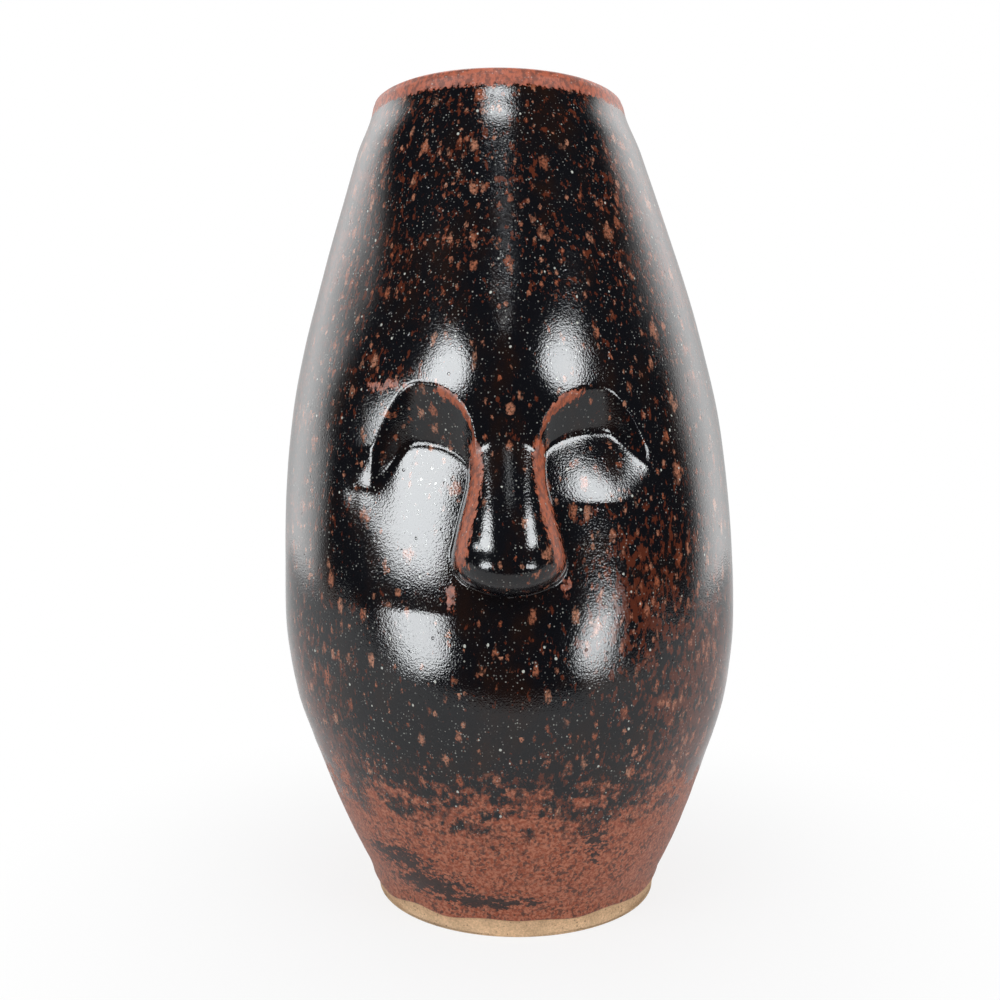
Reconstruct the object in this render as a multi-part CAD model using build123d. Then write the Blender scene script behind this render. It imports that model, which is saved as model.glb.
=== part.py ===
from build123d import *
import math
import os

# Thrown wall of the pot. The front, with the face, looks along -Y.
vase_height = 254.0
foot_radius = 46.0
belly_radius = 72.7
belly_height = 98.0
mouth_radius = 40.0
mouth_drift = 5.9
wall_thickness = 6.0
floor_thickness = 9.0
floor_corner_radius = 8.0
lip_radius = 2.3

# Turned foot
foot_chamfer = 0.8
foot_ring_width = 8.5
foot_recess_depth = 2.6
recess_corner_radius = 1.5

# Glaze coat
glaze_thickness = 0.8
bare_foot_height = 5.5
lip_glaze_depth = 9.0

# Eye hollows, pressed in under the brow and drawn out over the cheek with the thumbs
left_hollow_offset = 25.5
left_brow_foot_height = 146.8
left_brow_rise = 17.5
left_hollow_inner_reach = 16.5
left_hollow_depth = 8.6
left_hollow_deepest_height = 146.2
left_cheek_foot_height = 104.0
right_hollow_offset = 27.0
right_brow_foot_height = 146.2
right_brow_rise = 16.0
right_hollow_inner_reach = 18.0
right_hollow_depth = 7.2
right_hollow_deepest_height = 148.8
right_cheek_foot_height = 118.0
hollow_outer_reach = 12.5
hollow_fade_start = 33.0
hollow_fade_end = 50.0
hollow_floor_rounding = 1.2
hollow_join_half_width = 6.0

# Nose, a separate piece of clay luted on
nose_top_height = 170.0
nose_tip_height = 116.5
nose_bottom_height = 107.0
nose_reach = 13.2
nose_half_width = 14.9
nose_seat_depth = 3.0
nose_root_depth = 14.0

# Soft swellings of the wall over and under the nose, and the pressed temples
brow_height = 167.0
brow_swell = 4.8
brow_spread = 18.0
temple_offset = 43.0
temple_height = 200.0
left_temple_depth = 4.0
right_temple_depth = 2.0
temple_spread = 12.0
temple_rise_spread = 21.0
chin_height = 80.0
chin_swell = 1.3
chin_spread = 15.0

# Cuts run past the faces they open by this much
overrun = 5.0

# Wall outline: share of the height climbed, share of the radius gained
lower_wall_shares = (
    (0.0, 0.0), (0.041, 0.037), (0.092, 0.082), (0.163, 0.202), (0.265, 0.363),
    (0.388, 0.536), (0.531, 0.723), (0.673, 0.884), (0.837, 0.981), (1.0, 1.0),
)
upper_wall_shares = (
    (0.0, 1.0), (0.141, 0.979), (0.269, 0.93), (0.397, 0.844), (0.526, 0.706),
    (0.654, 0.541), (0.782, 0.352), (0.897, 0.168), (1.0, 0.0),
)

# Nose above its tip: share of the height, share of the reach, share of the half width
nose_shares = (
    (0.0, 1.0, 1.0), (0.065, 0.97, 0.95), (0.196, 0.8, 0.82), (0.364, 0.53, 0.66),
    (0.533, 0.28, 0.65), (0.626, 0.17, 0.67), (0.74, 0.03, 0.82), (0.85, -0.15, 0.95),
    (1.0, -0.5, 1.0),
)
tip_corner_share_power = 2.4
nose_squareness = 2.8
hollow_squareness = 2.2
left_brow_slope = 0.66
right_brow_slope = 0.60
left_cheek_easing = 1.2
right_cheek_easing = 1.7

# Steps of the lofts
wall_steps_below_face = 12
wall_steps_in_face = 20
wall_steps_above_face = 9
section_gap = 4.0
front_steps = 34
side_steps = 20
front_half_angle = 50.0
seam_step = 1e-4
nose_tip_angles = (84, 74, 62, 48, 32, 16)
nose_steps = 9
nose_points = 32


def share_at(table, position, column=1):
    # A smooth curve through the rows of a table of shares, level at both ends.
    last = len(table) - 1
    position = min(max(position, table[0][0]), table[last][0])
    row = max(i for i in range(last) if table[i][0] <= position)

    def slope(i):
        if i in (0, last):
            return 0.0
        rise = table[i + 1][column] - table[i - 1][column]
        return rise / (table[i + 1][0] - table[i - 1][0])

    width = table[row + 1][0] - table[row][0]
    t = (position - table[row][0]) / width
    start = table[row][column]
    end = table[row + 1][column]
    bend_start = width * slope(row)
    bend_end = width * slope(row + 1)
    eased = t * t * (3 - 2 * t)
    return (
        start + (end - start) * eased
        + bend_start * t * (1 - t) ** 2 - bend_end * t * t * (1 - t)
    )


def wall_radius(z):
    if z < belly_height:
        grown = share_at(lower_wall_shares, z / belly_height)
        return foot_radius + (belly_radius - foot_radius) * grown
    climbed = (z - belly_height) / (vase_height - belly_height)
    return mouth_radius + (belly_radius - mouth_radius) * share_at(upper_wall_shares, climbed)


def centre_x(z):
    # The pot leans a little to one side, as it came off the wheel.
    return -mouth_drift * z / vase_height


def eased(position, low, high):
    share = min(max((position - low) / (high - low), 0), 1)
    return share * share * (3 - 2 * share)


def hollow_at(across, z, offset, foot, rise, inner, slope, depth, deepest, cheek, easing):
    # Depth of one eye hollow. It falls steeply from the brow's arch and rises slowly to the cheek.
    reach = hollow_outer_reach if across > offset else inner
    spoke = min(abs(across - offset) / reach, 1) ** hollow_squareness
    arch = foot + rise * (1 - spoke) ** (1 / hollow_squareness)
    under_brow = slope * (arch - z)
    over_cheek = depth * max((z - cheek) / (deepest - cheek), 0) ** easing
    rounding = math.hypot(under_brow - over_cheek, hollow_floor_rounding)
    floor = max((under_brow + over_cheek - rounding) / 2, 0)
    return floor * (1 - eased(across, hollow_fade_start, hollow_fade_end))


def hollows_at(x, z):
    # Both hollows, which run into each other behind the nose.
    left = hollow_at(
        -x, z, left_hollow_offset, left_brow_foot_height, left_brow_rise, left_hollow_inner_reach,
        left_brow_slope, left_hollow_depth, left_hollow_deepest_height, left_cheek_foot_height,
        left_cheek_easing,
    )
    right = hollow_at(
        x, z, right_hollow_offset, right_brow_foot_height, right_brow_rise,
        right_hollow_inner_reach, right_brow_slope, right_hollow_depth,
        right_hollow_deepest_height, right_cheek_foot_height, right_cheek_easing,
    )
    return left + (right - left) * eased(x, -hollow_join_half_width, hollow_join_half_width)


def swell_at(x, z, place_x, place_z, spread, height, rise_spread):
    away = ((x - place_x) / spread) ** 2 + ((z - place_z) / rise_spread) ** 2
    return height * math.exp(-away / 2)


def relief_at(x, z):
    # How far the front stands out of the round wall.
    relief = swell_at(x, z, 0, chin_height, chin_spread, chin_swell, chin_spread)
    relief += swell_at(x, z, 0, brow_height, brow_spread, brow_swell, brow_spread)
    for place, depth in ((-temple_offset, left_temple_depth), (temple_offset, right_temple_depth)):
        relief -= swell_at(x, z, place, temple_height, temple_spread, depth, temple_rise_spread)
    return relief - hollows_at(x, z)


def wall_point(angle, z, offset):
    # The angle runs round the pot from 0 at the middle of the face.
    radius = wall_radius(z) + offset
    x = radius * math.sin(angle)
    y = -radius * math.cos(angle)
    if y < 0:
        y -= relief_at(x, z)
    return Vector(centre_x(z) + x, y, z)


def wall_arc(start, end, steps, z, offset):
    # One stretch of a section, whose ends run on smoothly into its neighbours.
    angles = steps_between(start, end, steps) + [end]
    ends = []
    for angle in (start, end):
        ahead = wall_point(angle + seam_step, z, offset) - wall_point(angle - seam_step, z, offset)
        ends.append(ahead / (2 * seam_step))
    points = [wall_point(angle, z, offset) for angle in angles]
    return Edge.make_spline(points, tangents=ends, parameters=angles, scale=False)


def pot_section(z, offset):
    front = math.radians(front_half_angle)
    left = wall_arc(-math.pi, -front, side_steps, z, offset)
    middle = wall_arc(-front, front, front_steps, z, offset)
    right = wall_arc(front, math.pi, side_steps, z, offset)
    return Wire([left, middle, right])


def steps_between(low, high, count):
    return [low + (high - low) * i / count for i in range(count)]


def wall_heights():
    # Heights of the sections from the foot to the mouth, closer together on the face.
    left_brow_height = left_brow_foot_height + left_brow_rise
    right_brow_height = right_brow_foot_height + right_brow_rise
    face_bottom = min(left_cheek_foot_height, right_cheek_foot_height) - overrun
    face_top = max(left_brow_height, right_brow_height) + overrun
    below = steps_between(0, face_bottom, wall_steps_below_face)
    face = steps_between(face_bottom, face_top, wall_steps_in_face)
    above = steps_between(face_top, vase_height, wall_steps_above_face)
    return below + face + above


def pot_form(offset, bottom, top):
    # The round wall with the pressed face, grown outward by the offset.
    between = [z for z in wall_heights() if bottom + section_gap < z < top - section_gap]
    return Solid.make_loft([pot_section(z, offset) for z in [bottom, *between, top]])


def nose_section(z, reach, half_width):
    # Square-shouldered oval whose front stands out of the wall and whose root lies in it.
    middle_y = -(wall_radius(z) - nose_seat_depth)
    points = []
    angles = [2 * math.pi * i / nose_points for i in range(nose_points)]
    for angle in angles:
        side = math.copysign(abs(math.sin(angle)) ** (2 / nose_squareness), math.sin(angle))
        front = math.copysign(abs(math.cos(angle)) ** (2 / nose_squareness), math.cos(angle))
        depth = nose_root_depth if front > 0 else nose_seat_depth + reach
        points.append((centre_x(z) + half_width * side, middle_y + depth * front, z))
    around = Edge.make_spline(points, periodic=True, parameters=angles + [2 * math.pi])
    return Wire([around])


def nose_form(offset):
    # The rounded tip first, from below, then the bridge up to its top inside the wall.
    tip_drop = nose_tip_height - nose_bottom_height + offset
    sections = []
    for degrees in nose_tip_angles:
        low = math.sin(math.radians(degrees))
        reach = (nose_reach + offset) * math.cos(math.radians(degrees))
        half_width = (nose_half_width + offset) * math.sqrt(1 - low ** tip_corner_share_power)
        sections.append(nose_section(nose_tip_height - tip_drop * low, reach, half_width))
    for step in range(nose_steps + 1):
        share = step / nose_steps
        z = nose_tip_height + (nose_top_height - nose_tip_height) * share
        reach = nose_reach * share_at(nose_shares, share, 1) + offset
        half_width = nose_half_width * share_at(nose_shares, share, 2) + offset
        sections.append(nose_section(z, reach, half_width))
    return Solid.make_loft(sections)


def hollow_form(offset, top):
    # The inside of the pot up to a height, with a round corner above its floor.
    inside = pot_form(-wall_thickness - offset, floor_thickness + offset, top)
    return fillet(inside.faces().sort_by(Axis.Z)[0].edges(), floor_corner_radius - offset)


def mouth_form(offset):
    # The inside of the mouth, down to where the outer glaze meets the liner.
    join = Plane.XY.offset(vase_height - lip_glaze_depth)
    return split(hollow_form(offset, vase_height + overrun), bisect_by=join, keep=Keep.TOP)


def make_pot(outside, inside, radius):
    # The outside emptied by the inside, with a round lip.
    pot = outside - inside
    return fillet(pot.faces().sort_by(Axis.Z)[-1].edges(), radius)


def make_body(outside):
    footed = chamfer(outside.faces().sort_by(Axis.Z)[0].edges(), foot_chamfer)
    recess = Cylinder(
        foot_radius - foot_ring_width, foot_recess_depth,
        align=(Align.CENTER, Align.CENTER, Align.MIN),
    )
    recess = fillet(recess.faces().sort_by(Axis.Z)[-1].edges(), recess_corner_radius)
    return make_pot(footed, hollow_form(0, vase_height + overrun), lip_radius) - recess


def make_outer_glaze(clay):
    # The coat over the wall, the nose and the lip, from the bare foot to just inside the mouth.
    coat = pot_form(glaze_thickness, bare_foot_height, vase_height + glaze_thickness)
    coat += nose_form(glaze_thickness)
    glazed = make_pot(coat, mouth_form(glaze_thickness), lip_radius + glaze_thickness)
    return glazed - make_pot(clay, mouth_form(0), lip_radius)


def make_liner_glaze():
    top = vase_height - lip_glaze_depth
    return hollow_form(0, top) - hollow_form(glaze_thickness, top + overrun)


outside = pot_form(0, 0, vase_height)
nose = nose_form(0)

parts = {
    "stoneware_body": make_body(outside),
    "applied_nose": nose - outside,
    "outer_glaze": make_outer_glaze(outside + nose),
    "liner_glaze": make_liner_glaze(),
}
os.makedirs("parts", exist_ok=True)
for name, solid in parts.items():
    export_step(solid, f"parts/{name}.step")
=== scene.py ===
import math
from functools import lru_cache

import bmesh
import bpy
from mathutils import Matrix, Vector, noise


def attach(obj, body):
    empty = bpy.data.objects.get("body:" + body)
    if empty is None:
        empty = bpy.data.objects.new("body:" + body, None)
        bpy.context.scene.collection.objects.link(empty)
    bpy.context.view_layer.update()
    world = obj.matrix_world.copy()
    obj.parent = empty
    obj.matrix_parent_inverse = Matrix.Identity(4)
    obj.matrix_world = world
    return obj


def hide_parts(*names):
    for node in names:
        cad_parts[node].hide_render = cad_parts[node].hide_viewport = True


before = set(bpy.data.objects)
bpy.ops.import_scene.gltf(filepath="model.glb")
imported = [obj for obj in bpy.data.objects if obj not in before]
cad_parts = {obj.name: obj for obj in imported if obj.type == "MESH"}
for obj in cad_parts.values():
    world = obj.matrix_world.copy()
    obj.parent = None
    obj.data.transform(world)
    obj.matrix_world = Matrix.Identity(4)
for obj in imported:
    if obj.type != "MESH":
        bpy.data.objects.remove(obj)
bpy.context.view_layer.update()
print("frame loaded")

# Sizes of the thrown pot in metres. The face looks along -Y.
pot = dict(
    height=0.254, footRadius=0.046, bellyRadius=0.0727, bellyHeight=0.098,
    mouthRadius=0.040, drift=0.0059, wall=0.006, floor=0.009, floorCorner=0.008,
    lip=0.0023, footRing=0.0085, footRecess=0.0026, recessCorner=0.0015, footChamfer=0.0008,
    lowerCurve=(
        (0, 0), (0.041, 0.037), (0.092, 0.082), (0.163, 0.202), (0.265, 0.363),
        (0.388, 0.536), (0.531, 0.723), (0.673, 0.884), (0.837, 0.981), (1, 1),
    ),
    upperCurve=(
        (0, 1), (0.141, 0.979), (0.269, 0.93), (0.397, 0.844), (0.526, 0.706),
        (0.654, 0.541), (0.782, 0.352), (0.897, 0.168), (1, 0),
    ),
)

# Eye hollows, drawn out from under the brow over the cheek, and soft swells
face = dict(
    left=dict(
        offset=0.0243, foot=0.1455, rise=0.0175, inner=0.0158, slope=0.58, depth=0.0092,
        deepest=0.1445, cheek=0.101, easing=1.2, fade=(0.027, 0.050),
    ),
    right=dict(
        offset=0.0262, foot=0.1457, rise=0.0163, inner=0.0177, slope=0.58, depth=0.0068,
        deepest=0.1490, cheek=0.130, easing=1.3, fade=(0.029, 0.048),
    ),
    outerReach=0.0137, floorRounding=0.0012, join=0.006, squareness=2.2,
    swells=(  # x, z, spread along x and z, height
        (0, 0.080, 0.015, 0.015, 0.0013), (0, 0.167, 0.018, 0.018, 0.0048),
        (-0.043, 0.200, 0.012, 0.021, -0.0040), (0.043, 0.200, 0.012, 0.021, -0.0020),
    ),
)

nose = dict(
    top=0.170, tip=0.1165, bottom=0.107, reach=0.0132, half=0.0149, seat=0.003,
    squareness=2.8, tipPower=2.4, fillet=0.0007, tipSquareness=2.0, bridgeSquareness=3.2,
    bridgeFrom=0.117, bridgeTo=0.126, crown=0.020, draft=0.0005, slack=1.0001, edgeUpTo=0.6,
    curve=(
        (0, 1, 1), (0.065, 0.97, 0.95), (0.196, 0.8, 0.82), (0.364, 0.53, 0.66),
        (0.533, 0.28, 0.65), (0.626, 0.17, 0.67), (0.74, 0.03, 0.82), (0.85, -0.15, 0.95),
        (1, -0.5, 1),
    ),
)

# The spun blank is a plain cylinder, which is then shaped. Its disc at the floor stays flat,
# and below footHeight it stays round. Points within the skin count as the outside.
blank = dict(radius=0.070, disc=0.016, footHeight=0.004, skin=0.0001)


def easeAlong(rows, place, column=1):
    # smooth curve through the rows, level at both ends
    last = len(rows) - 1
    place = min(max(place, rows[0][0]), rows[last][0])
    row = max(i for i in range(last) if rows[i][0] <= place)

    def slope(i):
        if i in (0, last):
            return 0.0
        return (rows[i + 1][column] - rows[i - 1][column]) / (rows[i + 1][0] - rows[i - 1][0])

    width = rows[row + 1][0] - rows[row][0]
    t = (place - rows[row][0]) / width
    start, end = rows[row][column], rows[row + 1][column]
    bend = slope(row) * t * (1 - t) ** 2 - slope(row + 1) * t * t * (1 - t)
    return start + (end - start) * t * t * (3 - 2 * t) + width * bend


def between(value, low, high):
    # 0 below low, 1 above high, eased in the middle
    t = min(max((value - low) / (high - low), 0), 1)
    return t * t * (3 - 2 * t)


def mix(low, high, share):
    return low + (high - low) * share


@lru_cache(maxsize=None)
def wallRadius(z):
    belly, mouth = pot["bellyRadius"], pot["mouthRadius"]
    if z < pot["bellyHeight"]:
        grown = easeAlong(pot["lowerCurve"], z / pot["bellyHeight"])
        return mix(pot["footRadius"], belly, grown)
    climbed = (z - pot["bellyHeight"]) / (pot["height"] - pot["bellyHeight"])
    return mix(mouth, belly, easeAlong(pot["upperCurve"], climbed))


def leanX(z):
    return -pot["drift"] * z / pot["height"]


def archHeight(across, hollow):
    # height of the brow's arch over a hollow
    away = across - hollow["offset"]
    if away > 0:
        arch = (1 - min(away / face["outerReach"], 1) ** 2) ** 1.5
    else:
        spoke = min(-away / hollow["inner"], 1) ** face["squareness"]
        arch = (1 - spoke) ** (1 / face["squareness"])
    return hollow["foot"] + hollow["rise"] * arch


def hollowDepth(across, z, hollow):
    # steep under the brow, then rising slowly to the cheek
    under = hollow["slope"] * (archHeight(across, hollow) - z)
    climb = max((z - hollow["cheek"]) / (hollow["deepest"] - hollow["cheek"]), 0)
    over = hollow["depth"] * climb ** hollow["easing"]
    floor = (under + over - math.hypot(under - over, face["floorRounding"])) / 2
    return max(floor, 0) * (1 - between(across, *hollow["fade"]))


def faceRelief(x, z):
    relief = 0.0
    for placeX, placeZ, wide, tall, height in face["swells"]:
        away = ((x - placeX) / wide) ** 2 + ((z - placeZ) / tall) ** 2
        relief += height * math.exp(-away / 2)
    left, right = hollowDepth(-x, z, face["left"]), hollowDepth(x, z, face["right"])
    return relief - mix(left, right, between(x, -face["join"], face["join"]))


def noseFront(x, z, offset):
    # how far the nose's front stands from the pot's middle, 0 beside the nose
    if z >= nose["tip"]:
        share = (z - nose["tip"]) / (nose["top"] - nose["tip"])
        if share > 1:
            return 0.0
        reach = nose["reach"] * easeAlong(nose["curve"], share, 1) + offset
        half = nose["half"] * easeAlong(nose["curve"], share, 2) + offset
    else:
        low = (nose["tip"] - z) / (nose["tip"] - nose["bottom"] + offset)
        if low >= 1:
            return 0.0
        reach = (nose["reach"] + offset) * math.sqrt(1 - low * low)
        half = (nose["half"] + offset) * math.sqrt(1 - low ** nose["tipPower"])
    side = abs(x) / half
    if side > nose["slack"]:
        return 0.0
    bridge = between(z, nose["bridgeFrom"], nose["bridgeTo"])
    power = mix(nose["tipSquareness"], nose["bridgeSquareness"], bridge)
    swelled = max(0.0, 1 - side ** power) ** (1 / power)
    crown = bridge * x * x / (2 * nose["crown"])
    return wallRadius(z) - nose["seat"] + (nose["seat"] + reach) * swelled - crown * swelled


@lru_cache(maxsize=None)
def noseEdge(z):
    # half width that the nose's columns keep to, also above and below it
    share = min(max((z - nose["tip"]) / (nose["top"] - nose["tip"]), 0), nose["edgeUpTo"])
    return nose["half"] * easeAlong(nose["curve"], share, 2)


def joinFronts(one, other, fillet):
    # the outer of two surfaces, with a small fillet where they cross
    close = max(fillet - abs(one - other), 0) / fillet
    return max(one, other) + close * close * fillet / 4


# Columns of the glaze coat in each half turn: across the nose, down its side, then the wall.
# They bunch up at the nose's sides, and spread out again below and above it.
columns = dict(
    count=256, ridge=30, edge=36, wall=((36, 0), (41, 0.007), (80, 0.15), (128, 1)),
    bunchFrom=(-0.001, 0.002), bunchTo=(0.150, 0.158), spread=0.004,
)


def straightAlong(rows, place):
    for (a, low), (b, high) in zip(rows, rows[1:]):
        if place <= b:
            return mix(low, high, (place - a) / (b - a))
    return rows[-1][1]


def wallFront(x, z, offset):
    radius = wallRadius(z) + offset
    return math.sqrt(max(radius * radius - x * x, 0)) + faceRelief(x, z)


def facePoint(turn, z, offset, withNose):
    # place of a column on the wall or on the nose
    column = abs(turn) / math.pi * columns["count"] / 2
    side = math.copysign(1, turn)
    radius = wallRadius(z) + offset
    edge = noseEdge(z) + offset
    power = 2 / nose["squareness"]
    onNose = between(z - nose["bottom"], *columns["bunchFrom"])
    onNose *= 1 - between(z, *columns["bunchTo"])
    draft = mix(columns["spread"], nose["draft"], onNose)
    if column <= columns["edge"]:
        reached = min(column / columns["ridge"], 1)
        sunk = max(column - columns["ridge"], 0) / (columns["edge"] - columns["ridge"])
        bunched = math.sin(reached * math.pi / 2) ** power
        x = side * (edge * mix(reached, bunched, onNose) + draft * sunk)
        front = wallFront(x, z, offset)
        if withNose:
            out = noseFront(min(max(x, -edge), edge), z, offset)
            front = mix(joinFronts(out, front, nose["fillet"]), front, sunk)
        return x, -front
    start = math.asin((edge + draft) / radius)
    angle = mix(start, math.pi, straightAlong(columns["wall"], column))
    x = side * radius * math.sin(angle)
    y = -radius * math.cos(angle)
    if y < 0:
        y -= faceRelief(x, z)
    return x, y


# Small unevenness left by the hands and the wheel, always inwards
marks = dict(
    rings=0.00022, ringHeight=0.0042, ringTurn=9, dents=0.0006, dentSize=0.022,
    aboveFoot=(0.05, 0.10), aboveShare=0.12, wave=0.0022, waveTurn=60, waveUpTo=(0.005, 0.016),
)


def throwingMarks(x, y, z):
    share = mix(1, marks["aboveShare"], between(z, *marks["aboveFoot"]))
    turn = marks["ringTurn"]
    rings = noise.noise(Vector((x * turn, y * turn, z / marks["ringHeight"])))
    dents = noise.noise(Vector((x, y, z)) / marks["dentSize"])
    return marks["rings"] * share * (rings - 1) / 2 + marks["dents"] * (dents - 1) / 2


def newObject(name, shape, material, node):
    mesh = bpy.data.meshes.new(name)
    shape.to_mesh(mesh)
    shape.free()
    mesh.shade_smooth()
    piece = bpy.data.objects.new(name, mesh)
    bpy.context.collection.objects.link(piece)
    mesh.materials.append(material)
    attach(piece, "root")
    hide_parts(node)
    return piece


def spinBlank(corners, steps, stepSize, closed):
    # corners: (offset from the wall, height, rounding radius, rounding steps)
    shape = bmesh.new()
    points = []
    for offset, z, *_ in corners:
        points.append(shape.verts.new((0, -(blank["radius"] + offset), z)))
    pairs = list(zip(points, points[1:] + points[:1]))
    for a, b in pairs if closed else pairs[:-1]:
        shape.edges.new((a, b))
    for point, (offset, z, radius, segments) in zip(points, corners):
        if radius:
            bmesh.ops.bevel(
                shape, geom=[point], offset=radius, offset_type="OFFSET", affect="VERTICES",
                segments=segments, profile=0.5, material=-1,
            )
    for edge in list(shape.edges):
        cuts = int(edge.calc_length() / stepSize(edge)) - 1
        if cuts > 0:
            bmesh.ops.subdivide_edges(shape, edges=[edge], cuts=cuts)
    bmesh.ops.spin(
        shape, geom=shape.verts[:] + shape.edges[:], cent=(0, 0, 0), axis=(0, 0, 1),
        dvec=(0, 0, 0), angle=math.tau, steps=steps, use_merge=True, use_duplicate=False,
    )
    bmesh.ops.remove_doubles(shape, verts=shape.verts, dist=1e-7)
    return shape


def shapeBlank(shape, withNose, marked):
    # pushes the spun cylinder out to the pot's wall and face
    disc, skin = blank["disc"], -blank["skin"]
    for vert in shape.verts:
        turn = math.atan2(vert.co.x, -vert.co.y)
        spun = math.hypot(vert.co.x, vert.co.y)
        offset = spun - blank["radius"]
        z = vert.co.z
        drop = nose["tip"] - nose["bottom"] + offset
        if withNose and 0 < nose["tip"] - z < drop:
            z = nose["tip"] - drop * math.sin((nose["tip"] - z) / drop * math.pi / 2)
        if offset < -disc:
            radius = (wallRadius(z) - disc) * spun / (blank["radius"] - disc)
            x, y = radius * math.sin(turn), -radius * math.cos(turn)
        elif z < blank["footHeight"] and offset < skin:
            radius = pot["footRadius"] + offset
            x, y = radius * math.sin(turn), -radius * math.cos(turn)
        else:
            x, y = facePoint(turn, z, offset, withNose)
        if marked and offset > skin:
            push = 1 + throwingMarks(x, y, z) / max(math.hypot(x, y), 0.01)
            x, y = x * push, y * push
        if withNose:
            wave = noise.noise(Vector((x, y, 0)) * marks["waveTurn"]) * marks["wave"]
            z += wave * (1 - between(z, *marks["waveUpTo"]))
        vert.co = (leanX(z) + x, y, z)
    bmesh.ops.recalc_face_normals(shape, faces=shape.faces)


def addNode(tree, kind, feeds=None, **settings):
    made = tree.nodes.new(kind)
    for name, value in settings.items():
        setattr(made, name, value)
    for socket, value in (feeds or {}).items():
        if isinstance(value, bpy.types.NodeSocket):
            tree.links.new(value, made.inputs[socket])
        else:
            made.inputs[socket].default_value = value
    return made


def maths(tree, operation, a, b=0.0):
    return addNode(tree, "ShaderNodeMath", {0: a, 1: b}, operation=operation).outputs[0]


def rangeOf(tree, value, low, high, toLow=0.0, toHigh=1.0):
    feeds = {"Value": value, "From Min": low, "From Max": high, "To Min": toLow, "To Max": toHigh}
    return addNode(tree, "ShaderNodeMapRange", feeds, interpolation_type="SMOOTHSTEP").outputs[0]


def mixColour(tree, share, low, high):
    made = tree.nodes.new("ShaderNodeMix")
    made.data_type = "RGBA"
    for socket, value in ((0, share), (6, low), (7, high)):
        if isinstance(value, bpy.types.NodeSocket):
            tree.links.new(value, made.inputs[socket])
        else:
            made.inputs[socket].default_value = (*value, 1) if socket else value
    return made.outputs[2]


def newGroup(name, inputs, outputs):
    tree = bpy.data.node_groups.new(name, "ShaderNodeTree")
    for socket, kind, value in inputs:
        made = tree.interface.new_socket(name=socket, in_out="INPUT", socket_type=kind)
        if value is not None:
            made.default_value = value
    for socket in outputs:
        tree.interface.new_socket(name=socket, in_out="OUTPUT", socket_type="NodeSocketFloat")
    return tree, tree.nodes.new("NodeGroupInput").outputs, tree.nodes.new("NodeGroupOutput").inputs


def useGroup(tree, group, feeds):
    made = tree.nodes.new("ShaderNodeGroup")
    made.node_tree = group
    for socket, value in feeds.items():
        if isinstance(value, bpy.types.NodeSocket):
            tree.links.new(value, made.inputs[socket])
        else:
            made.inputs[socket].default_value = value
    return made.outputs


def scaledPlace(tree, given):
    # place divided by the size, and by the stretch too along the height
    tall = maths(tree, "MULTIPLY", given["Size"], given["Stretch"])
    size = addNode(tree, "ShaderNodeCombineXYZ", {0: given["Size"], 1: given["Size"], 2: tall})
    feeds = {0: given["Place"], 1: size.outputs[0]}
    return addNode(tree, "ShaderNodeVectorMath", feeds, operation="DIVIDE").outputs[0]


def makeSpots():
    tree, given, out = newGroup("glazeSpots", (
        ("Place", "NodeSocketVector", None), ("Size", "NodeSocketFloat", 0.006),
        ("Stretch", "NodeSocketFloat", 1.0), ("Share", "NodeSocketFloat", 0.3),
        ("Radius", "NodeSocketFloat", 0.4), ("Edge", "NodeSocketFloat", 0.1),
        ("Ragged", "NodeSocketFloat", 0.3),
    ), ("Mask", "Tone"))
    place = scaledPlace(tree, given)
    rough = addNode(tree, "ShaderNodeTexNoise", {"Vector": place, "Scale": 4.0, "Detail": 2.0})
    cells = addNode(tree, "ShaderNodeTexVoronoi", {"Vector": place, "Scale": 1.0})
    tones = addNode(tree, "ShaderNodeSeparateColor", {0: cells.outputs["Color"]})
    ragged = maths(tree, "MULTIPLY", maths(tree, "SUBTRACT", rough.outputs[0], 0.5), given["Ragged"])
    distance = maths(tree, "ADD", cells.outputs["Distance"], ragged)
    kept = maths(tree, "LESS_THAN", tones.outputs[0], given["Share"])
    radius = maths(tree, "MULTIPLY", given["Radius"], rangeOf(tree, tones.outputs[2], 0, 1, 0.35, 1))
    inner = maths(tree, "SUBTRACT", radius, given["Edge"])
    mask = rangeOf(tree, distance, inner, radius, 1.0, 0.0)
    tree.links.new(maths(tree, "MULTIPLY", mask, kept), out["Mask"])
    tree.links.new(tones.outputs[1], out["Tone"])
    return tree


def makeCloud():
    tree, given, out = newGroup("glazeCloud", (
        ("Place", "NodeSocketVector", None), ("Size", "NodeSocketFloat", 0.01),
        ("Stretch", "NodeSocketFloat", 1.0), ("Low", "NodeSocketFloat", 0.4),
        ("High", "NodeSocketFloat", 0.6),
    ), ("Mask",))
    feeds = {"Vector": scaledPlace(tree, given), "Scale": 1.0, "Detail": 4.0, "Roughness": 0.6}
    cloud = addNode(tree, "ShaderNodeTexNoise", feeds)
    tree.links.new(rangeOf(tree, cloud.outputs[0], given["Low"], given["High"]), out["Mask"])
    return tree


# Swell and pinholes of a skin, as times its peel's size, and the edge of a pinhole in its cell
skin = dict(swellTimes=7.0, holeTimes=9.0, holeEdge=(0.05, 0.12))


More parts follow.
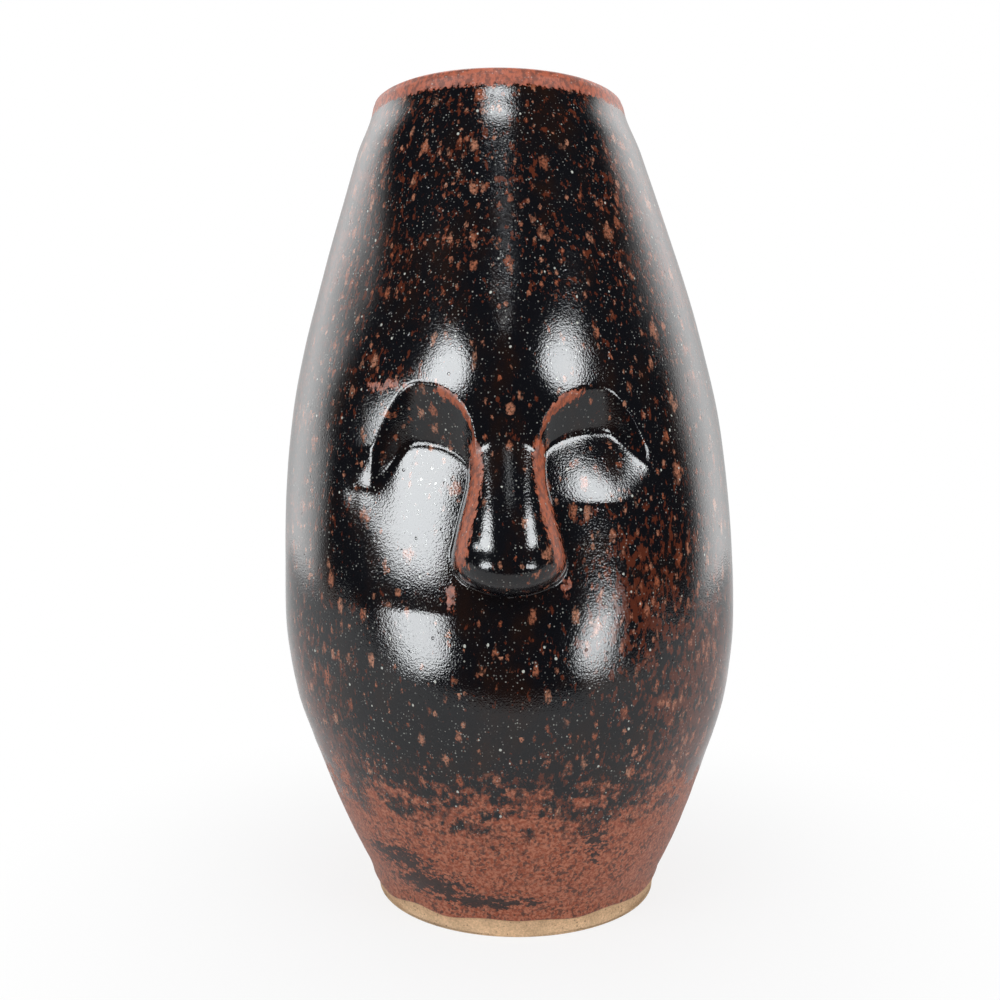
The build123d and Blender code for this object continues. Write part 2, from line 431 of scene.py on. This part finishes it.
def makePeel():
    # height of a glaze or clay skin: fine orange peel, a slow swell, and pinholes
    tree, given, out = newGroup("skinHeight", (
        ("Place", "NodeSocketVector", None), ("Size", "NodeSocketFloat", 0.0006),
        ("Swell", "NodeSocketFloat", 1.0),
    ), ("Height",))

    def scaled(times):
        size = maths(tree, "MULTIPLY", given["Size"], times)
        feeds = {0: given["Place"], 3: maths(tree, "DIVIDE", 1.0, size)}
        return addNode(tree, "ShaderNodeVectorMath", feeds, operation="SCALE").outputs[0]

    fine = addNode(tree, "ShaderNodeTexNoise", {"Vector": scaled(1.0), "Scale": 1.0, "Detail": 1.5})
    slow = addNode(tree, "ShaderNodeTexNoise", {
        "Vector": scaled(skin["swellTimes"]), "Scale": 1.0, "Detail": 2.0,
    })
    holes = addNode(tree, "ShaderNodeTexVoronoi", {"Vector": scaled(skin["holeTimes"]), "Scale": 1.0})
    pit = rangeOf(tree, holes.outputs["Distance"], *skin["holeEdge"], -1, 0)
    swell = maths(tree, "MULTIPLY", slow.outputs[0], given["Swell"])
    total = maths(tree, "ADD", maths(tree, "ADD", fine.outputs[0], swell), pit)
    tree.links.new(total, out["Height"])
    return tree


spots, cloud, peel = makeSpots(), makeCloud(), makePeel()


def newMaterial(name):
    material = bpy.data.materials.new(name)
    material.use_nodes = True
    tree = material.node_tree
    tree.nodes.clear()
    shader = tree.nodes.new("ShaderNodeBsdfPrincipled")
    end = tree.nodes.new("ShaderNodeOutputMaterial")
    tree.links.new(shader.outputs[0], end.inputs[0])
    place = tree.nodes.new("ShaderNodeTexCoord").outputs["Object"]
    return material, tree, shader, place


def skinBump(tree, shader, place, look):
    feeds = {"Place": place, "Size": look["peel"], "Swell": look["swell"]}
    height = useGroup(tree, peel, feeds)["Height"]
    bump = addNode(tree, "ShaderNodeBump", {"Height": height, "Distance": look["depth"], "Strength": 1.0})
    tree.links.new(bump.outputs[0], shader.inputs["Normal"])


# Black glaze that breaks to rust where it is thin
glazeLook = dict(
    black=(0.0040, 0.0042, 0.0060), brown=(0.014, 0.006, 0.004), dimRust=(0.105, 0.024, 0.011),
    rust=(0.33, 0.085, 0.036), pale=(0.52, 0.24, 0.15), low=(0.26, 0.053, 0.018),
    lowPale=(0.44, 0.155, 0.085), lowDark=(0.05, 0.018, 0.013), ridge=(0.42, 0.085, 0.022),
    lip=(0.46, 0.095, 0.035), speck=(0.62, 0.64, 0.58),
    peel=0.00050, swell=0.45, depth=0.000045, ior=1.5, shiny=0.09, dull=0.45, lowDull=0.7, bareDull=0.85,
)

# Clouds in the glaze: size, stretch along the height, then where the cloud starts and is full
glazeClouds = dict(
    bands=(0.022, 0.30, 0.42, 0.68), brown=(0.011, 1.6, 0.45, 0.75), grain=(0.0006, 1.0, 0.30, 0.60),
    lowEdge=(0.009, 0.7, 0.3, 0.7), lowFringe=(0.0022, 1.6, 0.3, 0.7),
    lowGrains=(0.0009, 1.0, 0.42, 0.58), lowDrifts=(0.0040, 0.8, 0.20, 0.5),
    holes=(0.0012, 1.1, 0.50, 0.58), holeDrifts=(0.0060, 0.7, 0.32, 0.55),
    tears=(0.0024, 0.6, 0.2, 0.8), fineTears=(0.0008, 0.8, 0.2, 0.8),
    thinEdge=(0.0011, 1.8, 0.2, 0.8), thinDark=(0.0013, 1.5, 0.42, 0.60), thick=(0.007, 1.0, 0.30, 0.65),
)

# Dots in the glaze: size, stretch, share of cells, radius, soft edge, raggedness
glazeDots = dict(
    fine=(0.0008, 1.1, 0.75, 0.36, 0.16, 0.2), big=(0.0030, 1.2, 0.45, 0.15, 0.06, 0.15),
    drops=(  # size, stretch, share where black, share added where rusty, radius
        (0.0019, 1.7, 0.17, 0.46, 0.42), (0.0034, 2.0, 0.19, 0.50, 0.44),
        (0.0062, 1.6, 0.12, 0.34, 0.38),
    ),
    dropEdges=(0.24, 0.7),
)

# How strong each layer is, and where along a height or a mask it begins and ends
glazeLayers = dict(
    bandRust=0.35, mottleSize=0.0016, mottleStretch=2.0, mottleFrom=0.66, mottleGrown=0.22,
    mottleWidth=0.08, mottle=0.9, drops=0.9, lowEdge=0.008, lowFringe=0.004, lowHeight=(0.038, 0.049),
    holes=0.85, tears=0.35, fineTears=0.2, streakAt=(0.42, 0.54), streak=0.92,
    thinEdge=0.28, thinAt=(0.35, 0.60), lipHeight=(0.240, 0.246), thinDark=0.75,
    fineSpecks=(0.10, 0.60), bigSpecks=0.85,
)


def laidCloud(tree, place, size, stretch, low, high):
    feeds = {"Place": place, "Size": size, "Stretch": stretch, "Low": low, "High": high}
    return useGroup(tree, cloud, feeds)["Mask"]


def clouds(tree, place, name):
    return laidCloud(tree, place, *glazeClouds[name])


def dots(tree, place, size, stretch, share, radius, edge, ragged):
    return useGroup(tree, spots, {
        "Place": place, "Size": size, "Stretch": stretch, "Share": share,
        "Radius": radius, "Edge": edge, "Ragged": ragged,
    })


def times(tree, value, by):
    return maths(tree, "MULTIPLY", value, by)


def tornBy(tree, place, value, name):
    # the value pushed up and down by the cloud of that name
    push = glazeLayers[name]
    return maths(tree, "ADD", value, rangeOf(tree, clouds(tree, place, name), 0, 1, -push, push))


def attribute(tree, name):
    return addNode(tree, "ShaderNodeAttribute", attribute_name=name).outputs["Fac"]


def rustyGround(tree, place):
    # black and brown ground, a fine dim mottling, then drops of rust, some of them pale
    look, layers = glazeLook, glazeLayers
    banded = times(tree, clouds(tree, place, "bands"), layers["bandRust"])
    rustier = maths(tree, "ADD", attribute(tree, "rusty"), banded)
    colour = mixColour(tree, clouds(tree, place, "brown"), look["black"], look["brown"])
    low = maths(tree, "SUBTRACT", layers["mottleFrom"], times(tree, rustier, layers["mottleGrown"]))
    high = maths(tree, "ADD", low, layers["mottleWidth"])
    mottle = laidCloud(tree, place, layers["mottleSize"], layers["mottleStretch"], low, high)
    colour = mixColour(tree, times(tree, mottle, layers["mottle"]), colour, look["dimRust"])
    grain = clouds(tree, place, "grain")
    for size, stretch, base, grown, radius in glazeDots["drops"]:
        share = maths(tree, "ADD", base, times(tree, rustier, grown))
        drops = dots(tree, place, size, stretch, share, radius, *glazeDots["dropEdges"])
        dropColour = mixColour(tree, drops["Tone"], look["rust"], look["pale"])
        covered = times(tree, times(tree, drops["Mask"], layers["drops"]), grain)
        colour = mixColour(tree, covered, colour, dropColour)
    return colour


def lowWall(tree, place, z):
    # mask and colour of the brick-pink lower wall, with its dark holes and torn black streak
    look, layers = glazeLook, glazeLayers
    ragged = tornBy(tree, place, tornBy(tree, place, z, "lowEdge"), "lowFringe")
    mask = rangeOf(tree, ragged, *layers["lowHeight"], 1.0, 0.0)
    grains = times(tree, clouds(tree, place, "lowGrains"), clouds(tree, place, "lowDrifts"))
    colour = mixColour(tree, grains, look["low"], look["lowPale"])
    holes = times(tree, clouds(tree, place, "holes"), clouds(tree, place, "holeDrifts"))
    colour = mixColour(tree, times(tree, holes, layers["holes"]), colour, look["lowDark"])
    torn = tornBy(tree, place, attribute(tree, "streak"), "tears")
    torn = rangeOf(tree, tornBy(tree, place, torn, "fineTears"), *layers["streakAt"])
    return mask, mixColour(tree, times(tree, torn, layers["streak"]), colour, look["black"])


def thinGlaze(tree, place, z):
    # mask and colour where the glaze broke, on the ridges and the lip
    look, layers = glazeLook, glazeLayers
    mask = rangeOf(tree, tornBy(tree, place, attribute(tree, "thin"), "thinEdge"), *layers["thinAt"])
    colour = mixColour(tree, rangeOf(tree, z, *layers["lipHeight"]), look["ridge"], look["lip"])
    dark = times(tree, clouds(tree, place, "thinDark"), layers["thinDark"])
    return mask, mixColour(tree, dark, colour, look["dimRust"])


def paleSpecks(tree, place, low):
    # fine specks where the glaze is thick, a few big ones, and none on the lower wall
    fineDots = dots(tree, place, *glazeDots["fine"])
    thick = rangeOf(tree, clouds(tree, place, "thick"), 0, 1, *glazeLayers["fineSpecks"])
    fine = times(tree, times(tree, fineDots["Mask"], thick), fineDots["Tone"])
    big = times(tree, dots(tree, place, *glazeDots["big"])["Mask"], glazeLayers["bigSpecks"])
    return times(tree, maths(tree, "MAXIMUM", fine, big), maths(tree, "SUBTRACT", 1.0, low))


def makeGlaze():
    look = glazeLook
    material, tree, shader, place = newMaterial("blackRustGlaze")
    z = addNode(tree, "ShaderNodeSeparateXYZ", {0: place}).outputs[2]
    low, lowColour = lowWall(tree, place, z)
    bare, bareColour = thinGlaze(tree, place, z)
    colour = mixColour(tree, low, rustyGround(tree, place), lowColour)
    colour = mixColour(tree, bare, colour, bareColour)
    colour = mixColour(tree, paleSpecks(tree, place, low), colour, look["speck"])
    tree.links.new(colour, shader.inputs["Base Color"])
    lowDull, bareDull = times(tree, low, look["lowDull"]), times(tree, bare, look["bareDull"])
    dull = maths(tree, "MAXIMUM", lowDull, bareDull)
    roughness = rangeOf(tree, dull, 0, 1, look["shiny"], look["dull"])
    tree.links.new(roughness, shader.inputs["Roughness"])
    shader.inputs["IOR"].default_value = look["ior"]
    skinBump(tree, shader, place, look)
    return material


# Bare clay with sand and grit in it
clayLook = dict(
    body=(0.82, 0.55, 0.32), bodyDark=(0.22, 0.12, 0.06), nose=(0.72, 0.50, 0.31),
    noseDark=(0.20, 0.11, 0.06), patchCloud=(0.006, 1.0, 0.3, 0.7), patchDim=0.78,
    sandCloud=(0.0006, 1.0, 0.35, 0.65), sand=0.35, gritDots=(0.0011, 1.0, 0.5, 0.36, 0.14, 0.4),
    grit=0.7, rough=(0.8, 0.92), peel=0.0007, swell=1.5, depth=0.0001,
)


def makeClay(name, colour, dark):
    look = clayLook
    material, tree, shader, place = newMaterial(name)
    grit = dots(tree, place, *look["gritDots"])["Mask"]
    sand = laidCloud(tree, place, *look["sandCloud"])
    patch = laidCloud(tree, place, *look["patchCloud"])
    base = mixColour(tree, patch, colour, tuple(c * look["patchDim"] for c in colour))
    base = mixColour(tree, times(tree, sand, look["sand"]), base, dark)
    base = mixColour(tree, times(tree, grit, look["grit"]), base, dark)
    tree.links.new(base, shader.inputs["Base Color"])
    tree.links.new(rangeOf(tree, patch, 0, 1, *look["rough"]), shader.inputs["Roughness"])
    skinBump(tree, shader, place, look)
    return material


# Dark glaze poured inside, with a few pale flecks
linerLook = dict(
    black=(0.008, 0.007, 0.008), brown=(0.05, 0.02, 0.012), patchCloud=(0.009, 1.0, 0.4, 0.7),
    fleckDots=(0.0025, 1.0, 0.3, 0.2, 0.1, 0.3), fleck=0.5, rough=(0.12, 0.25),
    peel=0.0008, swell=1.0, depth=0.00004,
)


def makeLiner():
    look = linerLook
    material, tree, shader, place = newMaterial("linerGlaze")
    patch = laidCloud(tree, place, *look["patchCloud"])
    colour = mixColour(tree, patch, look["black"], look["brown"])
    fleck = dots(tree, place, *look["fleckDots"])["Mask"]
    colour = mixColour(tree, times(tree, fleck, look["fleck"]), colour, glazeLook["pale"])
    tree.links.new(colour, shader.inputs["Base Color"])
    tree.links.new(rangeOf(tree, patch, 0, 1, *look["rough"]), shader.inputs["Roughness"])
    skinBump(tree, shader, place, look)
    return material


glazeMaterial, linerMaterial = makeGlaze(), makeLiner()
clayMaterial = makeClay("buffClay", clayLook["body"], clayLook["bodyDark"])
noseMaterial = makeClay("noseClay", clayLook["nose"], clayLook["noseDark"])
print("materials made")


# Black glaze over the wall, the nose and the lip
coat = dict(
    thick=0.0008, bottom=0.0055, lipDepth=0.009, lipSteps=8, faceLow=0.100,
    outerStep=0.0019, faceStep=0.00075, backStep=0.0042, backFaceStep=0.0018, tipStep=0.00048,
)


def coatStep(edge):
    middle = (edge.verts[0].co + edge.verts[1].co) / 2
    outside = -middle.y - blank["radius"] > coat["thick"] / 2
    if nose["bottom"] - 0.001 < middle.z < nose["tip"]:
        return coat["tipStep"] if outside else coat["tipStep"] * 2
    onFace = coat["faceLow"] < middle.z < nose["top"]
    if outside:
        return coat["faceStep"] if onFace else coat["outerStep"]
    return coat["backFaceStep"] if onFace else coat["backStep"]


def makeCoat():
    thick, top, wall = coat["thick"], pot["height"], pot["wall"]
    tip, bottom, low = nose["tip"], nose["bottom"], coat["faceLow"]
    join = top - coat["lipDepth"]
    steps = coat["lipSteps"]
    corners = [
        (thick, coat["bottom"], thick * 0.9, 4), (thick, low, 0, 0), (thick, bottom - thick, 0, 0),
        (thick, tip, 0, 0), (thick, nose["top"], 0, 0),
        (thick, top + thick, pot["lip"] + thick, steps),
        (-wall - thick, top + thick, pot["lip"] + thick, steps), (-wall - thick, join, 0, 0),
        (-wall, join, 0, 0), (-wall, top, pot["lip"], steps), (0, top, pot["lip"], steps),
        (0, nose["top"], 0, 0), (0, tip, 0, 0), (0, bottom, 0, 0), (0, low, 0, 0),
        (0, coat["bottom"], 0, 0),
    ]
    shape = spinBlank(corners, columns["count"], coatStep, closed=True)
    shapeBlank(shape, withNose=True, marked=True)
    piece = newObject("glaze_coat", shape, glazeMaterial, "outer_glaze")
    paintThinGlaze(piece.data)
    return piece


# Where the glaze broke. Patches: x, z, spread along x and z, strength
breaks = dict(
    lip=(0.0062, 0.0032), ridge=(0.87, 0.0018), ridgeFrom=(0.110, 0.118), ridgeTo=(0.146, 0.150),
    brow=(0.001, 0.0016), browInner=(0.002, 0.009), browUp=0.004,
    aroundRust=(0.40, 1.2, 0.50), lowRust=(0.042, 0.075, 0.50), highRust=(0.165, 0.195, 0.30),
    wings=((-0.0160, 0.1058, 0.0013, 0.0026, 0.75), (0.0150, 0.1088, 0.0013, 0.0018, 0.7),
           (-0.033, 0.1625, 0.0045, 0.0014, 0.62)),
    rust=((0.035, 0.103, 0.013, 0.020, 0.85), (0.052, 0.072, 0.016, 0.020, 0.7),
          (-0.060, 0.066, 0.008, 0.014, 0.8), (-0.030, 0.165, 0.010, 0.004, 0.5)),
    streak=((-0.0345, 0.0235, 0.008, 0.0030, 0.8), (-0.026, 0.0165, 0.009, 0.0032, 0.9),
            (-0.010, 0.0125, 0.014, 0.0018, 0.85), (0.023, 0.032, 0.003, 0.006, 0.6)),
)


def patchAt(patches, x, z):
    return max(
        strength * math.exp(-(((x - placeX) / wide) ** 2 + ((z - placeZ) / tall) ** 2) / 2)
        for placeX, placeZ, wide, tall, strength in patches
    )


def ridgeBreak(across, z):
    # a band along each side of the nose
    share, width = breaks["ridge"]
    band = math.exp(-(((across - noseEdge(z) * share) / width) ** 2))
    return band * between(z, *breaks["ridgeFrom"]) * (1 - between(z, *breaks["ridgeTo"]))


def browBreak(across, z, hollow):
    # a band just under the inner half of a brow's arch
    below, width = breaks["brow"]
    band = math.exp(-(((archHeight(across, hollow) - z - below) / width) ** 2))
    inner = between(hollow["offset"] - across, *breaks["browInner"])
    return band * inner * between(z, hollow["foot"], hollow["foot"] + breaks["browUp"])


def rustAt(around, z):
    # more rust at the sides and back, low down and high up
    aroundFrom, aroundTo, aroundShare = breaks["aroundRust"]
    lowFrom, lowTo, lowShare = breaks["lowRust"]
    highFrom, highTo, highShare = breaks["highRust"]
    rust = aroundShare * between(around, aroundFrom, aroundTo)
    rust += lowShare * (1 - between(z, lowFrom, lowTo))
    return rust + highShare * between(z, highFrom, highTo)


def paintThinGlaze(mesh):
    # how thin and how rusty the glaze is at each point of the coat
    thin = mesh.attributes.new("thin", "FLOAT", "POINT")
    rusty = mesh.attributes.new("rusty", "FLOAT", "POINT")
    streak = mesh.attributes.new("streak", "FLOAT", "POINT")
    for vert in mesh.vertices:
        x, y, z = vert.co
        x -= leanX(z)
        amount = between(z, *(pot["height"] - drop for drop in breaks["lip"]))
        if y < 0:
            amount = max(amount, ridgeBreak(abs(x), z), patchAt(breaks["wings"], x, z))
            amount = max(amount, browBreak(abs(x), z, face["left" if x < 0 else "right"]))
        thin.data[vert.index].value = amount
        streak.data[vert.index].value = patchAt(breaks["streak"], x, z) if y < 0 else 0
        rust = rustAt(abs(math.atan2(x, -y)), z) + (patchAt(breaks["rust"], x, z) if y < 0 else 0)
        rusty.data[vert.index].value = min(1, rust)


makeCoat()
print("glaze coat made")


# Clay pot, seen at the bare foot and from below
clay = dict(columns=144, rowStep=0.0032, cornerSteps=8)


def makeClayPot():
    top, foot = pot["height"], -pot["footRing"]
    corners = [
        (-blank["radius"], pot["footRecess"], 0, 0),
        (foot, pot["footRecess"], pot["recessCorner"], 4), (foot, 0, pot["footChamfer"], 2),
        (0, 0, pot["footChamfer"], 2), (0, top, pot["lip"], clay["cornerSteps"]),
        (-pot["wall"], top, pot["lip"], clay["cornerSteps"]),
        (-pot["wall"], pot["floor"], pot["floorCorner"], clay["cornerSteps"]),
        (-blank["radius"], pot["floor"], 0, 0),
    ]
    shape = spinBlank(corners, clay["columns"], lambda edge: clay["rowStep"], closed=False)
    shapeBlank(shape, withNose=False, marked=True)
    return newObject("clay_pot", shape, clayMaterial, "stoneware_body")


makeClayPot()
print("clay pot made")


# Liner glaze on the inside, up to the coat's edge in the mouth
def makeLinerCoat():
    thick, wall = coat["thick"], pot["wall"]
    join = pot["height"] - coat["lipDepth"]
    corners = [
        (-blank["radius"], pot["floor"] + thick, 0, 0),
        (-wall - thick, pot["floor"] + thick, pot["floorCorner"] - thick, clay["cornerSteps"]),
        (-wall - thick, join, 0, 0), (-wall, join, 0, 0),
        (-wall, pot["floor"], pot["floorCorner"], clay["cornerSteps"]),
        (-blank["radius"], pot["floor"], 0, 0),
    ]
    shape = spinBlank(corners, clay["columns"], lambda edge: clay["rowStep"], closed=False)
    shapeBlank(shape, withNose=False, marked=False)
    return newObject("liner_coat", shape, linerMaterial, "liner_glaze")


makeLinerCoat()
print("liner coat made")


# Clay of the nose, under the coat
noseLump = dict(around=48, up=32, crown=0.156, lift=0.0001, poleShare=3)


def makeNoseClay():
    shape = bmesh.new()
    bmesh.ops.create_uvsphere(
        shape, u_segments=noseLump["around"], v_segments=noseLump["up"], radius=1,
    )
    for vert in shape.verts:
        girth = math.hypot(vert.co.x, vert.co.y)
        z = mix(nose["bottom"] + noseLump["lift"], noseLump["crown"], (vert.co.z + 1) / 2)
        side = vert.co.x / max(girth, 1e-6)
        half = noseEdge(z)
        if z < nose["tip"]:
            low = (nose["tip"] - z) / (nose["tip"] - nose["bottom"])
            half = nose["half"] * math.sqrt(max(1 - low ** nose["tipPower"], 0))
        x = half * math.copysign(abs(side) ** (2 / nose["squareness"]), side)
        x *= min(1, girth * noseLump["poleShare"])
        back = wallFront(x, z, 0)
        front = max(noseFront(x, z, 0), back)
        vert.co = (leanX(z) + x, -(front if vert.co.y < 0 else back), z)
    bmesh.ops.remove_doubles(shape, verts=shape.verts, dist=1e-6)
    bmesh.ops.recalc_face_normals(shape, faces=shape.faces)
    return newObject("nose_clay", shape, noseMaterial, "applied_nose")


makeNoseClay()
print("nose clay made")


# Studio: pale table, lamps, world and camera
studio = dict(
    tableWide=1.6, tableFront=-0.20, tableBack=0.9, tableColour=(0.80, 0.80, 0.80), tableRough=0.9,
    whiteOut=(0.05, 0.20, 0.80, 1.0), lampColour=(0.95, 0.98, 1.0), lampAim=(-0.003, 0, 0.125),
    fill=0.75, walls=(0.12, 0.45, 0.03, 2.8), behind=(0.55, 0.95, 1.0, 0.25),
)
lamps = (
    # name, azimuth, elevation, distance, width, height, radiance, lights matt surfaces
    ("softBoxLeft", -46, 23.5, 1.0, 0.50, 0.44, 14, False),
    ("sideBoxLeft", -65, 13, 1.0, 0.36, 0.17, 11, False),
    ("lowLeft", -46, -11, 1.0, 0.42, 0.28, 13, False),
    ("softBoxRight", 46, 28, 1.0, 0.38, 0.36, 13, False),
    ("lowRight", 43, -12, 1.0, 0.30, 0.26, 11, False),
    ("overhead", -1, 63, 1.0, 0.22, 0.16, 15, False),
    ("overheadEdge", 2, 47.5, 1.0, 0.14, 0.030, 7, False),
    ("roomLeft", -40, 40, 1.6, 0.9, 0.9, 2.4, True),
    ("roomRight", 45, 35, 1.6, 0.9, 0.9, 1.8, True),
)


def makeFloor():
    shape = bmesh.new()
    bmesh.ops.create_grid(shape, x_segments=1, y_segments=1, size=0.5)
    front, back = studio["tableFront"], studio["tableBack"]
    bmesh.ops.scale(shape, vec=(studio["tableWide"], back - front, 1), verts=shape.verts)
    bmesh.ops.translate(shape, vec=(0, (front + back) / 2, 0), verts=shape.verts)
    mesh = bpy.data.meshes.new("table")
    shape.to_mesh(mesh)
    shape.free()
    table = bpy.data.objects.new("table", mesh)
    bpy.context.collection.objects.link(table)
    material, tree, shader, place = newMaterial("tablePaper")
    shader.inputs["Base Color"].default_value = (*studio["tableColour"], 1)
    shader.inputs["Roughness"].default_value = studio["tableRough"]
    glow = addNode(tree, "ShaderNodeEmission", {"Color": (1, 1, 1, 1), "Strength": 1.0})
    seen = tree.nodes.new("ShaderNodeLightPath").outputs["Is Camera Ray"]
    # the paper runs out into the white room, and keeps the pot's shadow near it
    away = addNode(tree, "ShaderNodeVectorMath", {0: place}, operation="LENGTH").outputs["Value"]
    white = rangeOf(tree, away, *studio["whiteOut"])
    share = maths(tree, "MULTIPLY", seen, white)
    both = addNode(tree, "ShaderNodeMixShader", {0: share, 1: shader.outputs[0], 2: glow.outputs[0]})
    end = next(n for n in tree.nodes if n.type == "OUTPUT_MATERIAL")
    tree.links.new(both.outputs[0], end.inputs[0])
    mesh.materials.append(material)


def makeLamps():
    aim = Vector(studio["lampAim"])
    for name, azimuth, elevation, distance, width, height, radiance, matt in lamps:
        a, e = math.radians(azimuth), math.radians(elevation)
        back = Vector((math.sin(a) * math.cos(e), -math.cos(a) * math.cos(e), math.sin(e)))
        data = bpy.data.lights.new(name, "AREA")
        data.shape = "RECTANGLE" if matt or name == "overhead" else "ELLIPSE"
        data.color = studio["lampColour"]
        data.size, data.size_y = width, height
        data.energy = radiance * math.pi * width * height
        lamp = bpy.data.objects.new(name, data)
        lamp.location = aim + back * distance
        lamp.rotation_euler = back.to_track_quat("Z", "Y").to_euler()
        lamp.visible_diffuse = matt
        lamp.visible_camera = False
        lamp.visible_glossy = not matt
        bpy.context.collection.objects.link(lamp)


def makeWorld():
    world = bpy.data.worlds.new("studioRoom")
    bpy.context.scene.world = world
    world.use_nodes = True
    tree = world.node_tree
    tree.nodes.clear()
    paths = tree.nodes.new("ShaderNodeLightPath").outputs
    # white walls beside the pot, less bright straight behind it, and a dim room behind the camera
    direction = tree.nodes.new("ShaderNodeTexCoord").outputs["Generated"]
    y = addNode(tree, "ShaderNodeSeparateXYZ", {0: direction}).outputs[1]
    walls = rangeOf(tree, y, *studio["walls"])
    behind = rangeOf(tree, y, *studio["behind"])
    room = maths(tree, "MULTIPLY", walls, behind)
    plain = mixColour(tree, paths["Is Glossy Ray"], (studio["fill"],) * 3, room)
    colour = mixColour(tree, paths["Is Camera Ray"], plain, (1, 1, 1))
    glow = addNode(tree, "ShaderNodeBackground", {"Color": colour, "Strength": 1.0})
    end = tree.nodes.new("ShaderNodeOutputWorld")
    tree.links.new(glow.outputs[0], end.inputs[0])


view = dict(sensor=36, lens=37.98, place=(-0.0053, -0.350, 0.1493), tilt=3.6)  # mm, metres, degrees


def makeCamera():
    data = bpy.data.cameras.new("camera")
    data.sensor_width, data.lens = view["sensor"], view["lens"]
    camera = bpy.data.objects.new("camera", data)
    camera.location = view["place"]
    camera.rotation_euler = (math.radians(90 - view["tilt"]), 0, 0)
    bpy.context.collection.objects.link(camera)
    bpy.context.scene.camera = camera


makeFloor()
makeLamps()
makeWorld()
makeCamera()
bpy.context.scene.view_settings.view_transform = "Standard"
print("studio made")
